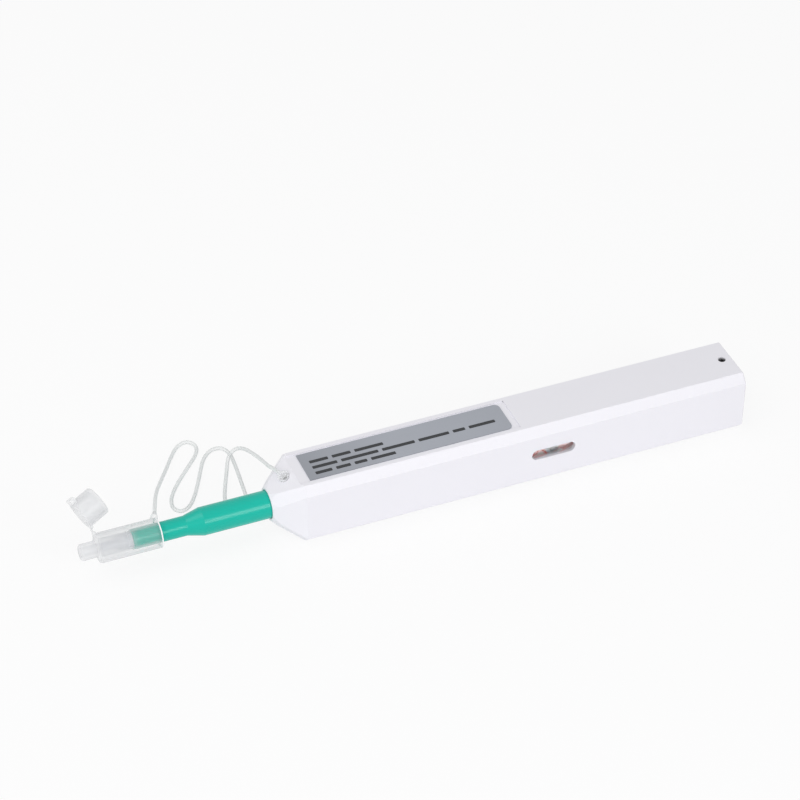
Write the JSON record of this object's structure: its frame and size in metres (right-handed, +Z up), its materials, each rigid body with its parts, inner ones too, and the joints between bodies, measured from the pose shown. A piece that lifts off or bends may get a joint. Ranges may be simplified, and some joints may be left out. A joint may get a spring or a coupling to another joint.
{
  "type": "fibre connector cleaning pen",
  "caption": "Push-to-clean pen for fibre connectors: square case with a window, sliding guide tube, flip-lid cap on a tether, and a thread drive inside.",
  "frame": {"origin": "centre of the case's flat bottom face, halfway along its straight part", "axes": "+X along the pen towards its rear end, +Z up towards the labelled face, cap at -X"},
  "size_m": [0.1991, 0.0553, 0.0238],
  "materials": {
    "case_white": "satin moulded ABS",
    "label_grey": "printed film label, no lettering",
    "lens_clear": "clear moulded lens",
    "gear_white": "moulded acetal",
    "steel": "spring steel",
    "clear_pp": "milky translucent polyethylene",
    "tube_green": "glossy moulded plastic",
    "nozzle_white": "moulded plastic",
    "frame_grey": "moulded acetal",
    "thread_white": "microfibre cleaning thread",
    "reel_coral": "moulded plastic",
    "reel_grey": "moulded acetal",
    "rotor_grey": "moulded acetal"
  },
  "bodies": {
    "case": {"case_tray": "case_white", "side_cover": "case_white", "label_plate": "label_grey", "window_lens": "lens_clear", "drive_rack": "gear_white", "helix_pin": "steel", "return_spring": "steel", "tether_button": "clear_pp", "tether_rear": "clear_pp"},
    "carriage": {"guide_tube": "tube_green", "nozzle": "nozzle_white", "carriage_frame": "frame_grey", "reel_brake": "steel", "supply_clip": "steel", "take_up_clip": "steel", "upper_guide_pin": "steel", "lower_guide_pin": "steel", "thread_feed": "thread_white", "thread_return": "thread_white"},
    "supply": {"supply_reel": "reel_coral", "fresh_thread": "thread_white"},
    "take_up": {"take_up_reel": "reel_grey", "used_thread": "thread_white"},
    "gear": {"drive_gear": "gear_white", "drive_pawl": "frame_grey"},
    "rotor": {"rotor_shaft": "rotor_grey", "tip_spring": "steel"},
    "tip": {"tip_head": "nozzle_white"},
    "cap": {"cap_body": "clear_pp", "tether_front": "clear_pp", "lid_hinge": "clear_pp"},
    "lid": {"cap_lid": "clear_pp"}
  },
  "joints": [
    {"name": "push_stroke", "type": "slide", "parent": "case", "child": "carriage", "axis": [1, 0, 0], "range_m": [0, 0.01], "stiffness_N_per_m": 250, "springref_m": -0.004, "deforming": ["return_spring", "tether_rear"]},
    {"name": "supply_spin", "type": "hinge", "parent": "carriage", "child": "supply", "pos_m": [0.008, 0, 0.01], "axis": [0, 1, 0], "range_deg": [-72, 0]},
    {"name": "take_up_spin", "type": "hinge", "parent": "carriage", "child": "take_up", "pos_m": [-0.014, 0, 0.01], "axis": [0, 1, 0], "range_deg": [-115, 0]},
    {"name": "gear_spin", "type": "hinge", "parent": "carriage", "child": "gear", "pos_m": [-0.014, 0, 0.01], "axis": [0, 1, 0], "range_deg": [-115, 0]},
    {"name": "rotor_turn", "type": "hinge", "parent": "carriage", "child": "rotor", "pos_m": [-0.06, 0, 0.01], "axis": [1, 0, 0], "range_deg": [0, 180.5]},
    {"name": "tip_press", "type": "slide", "parent": "rotor", "child": "tip", "axis": [1, 0, 0], "range_m": [0, 0.0012], "stiffness_N_per_m": 400, "springref_m": -0.001, "deforming": ["tip_spring"]},
    {"name": "cap_pull", "type": "slide", "parent": "carriage", "child": "cap", "axis": [-1, 0, 0], "range_m": [0, 0.03], "deforming": ["tether_front"]},
    {"name": "lid_flip", "type": "hinge", "parent": "cap", "child": "lid", "pos_m": [-0.1263, 0.00341, 0.01392], "axis": [0, 0.7547, -0.6561], "range_deg": [-154, 20], "deforming": ["lid_hinge"]}
  ],
  "couplings": [
    {"joint": "supply_spin", "follows": "push_stroke", "rad_per_m": -125},
    {"joint": "take_up_spin", "follows": "push_stroke", "rad_per_m": -200},
    {"joint": "gear_spin", "follows": "push_stroke", "rad_per_m": -200},
    {"joint": "rotor_turn", "follows": "push_stroke", "rad_per_m": 314.16}
  ]
}
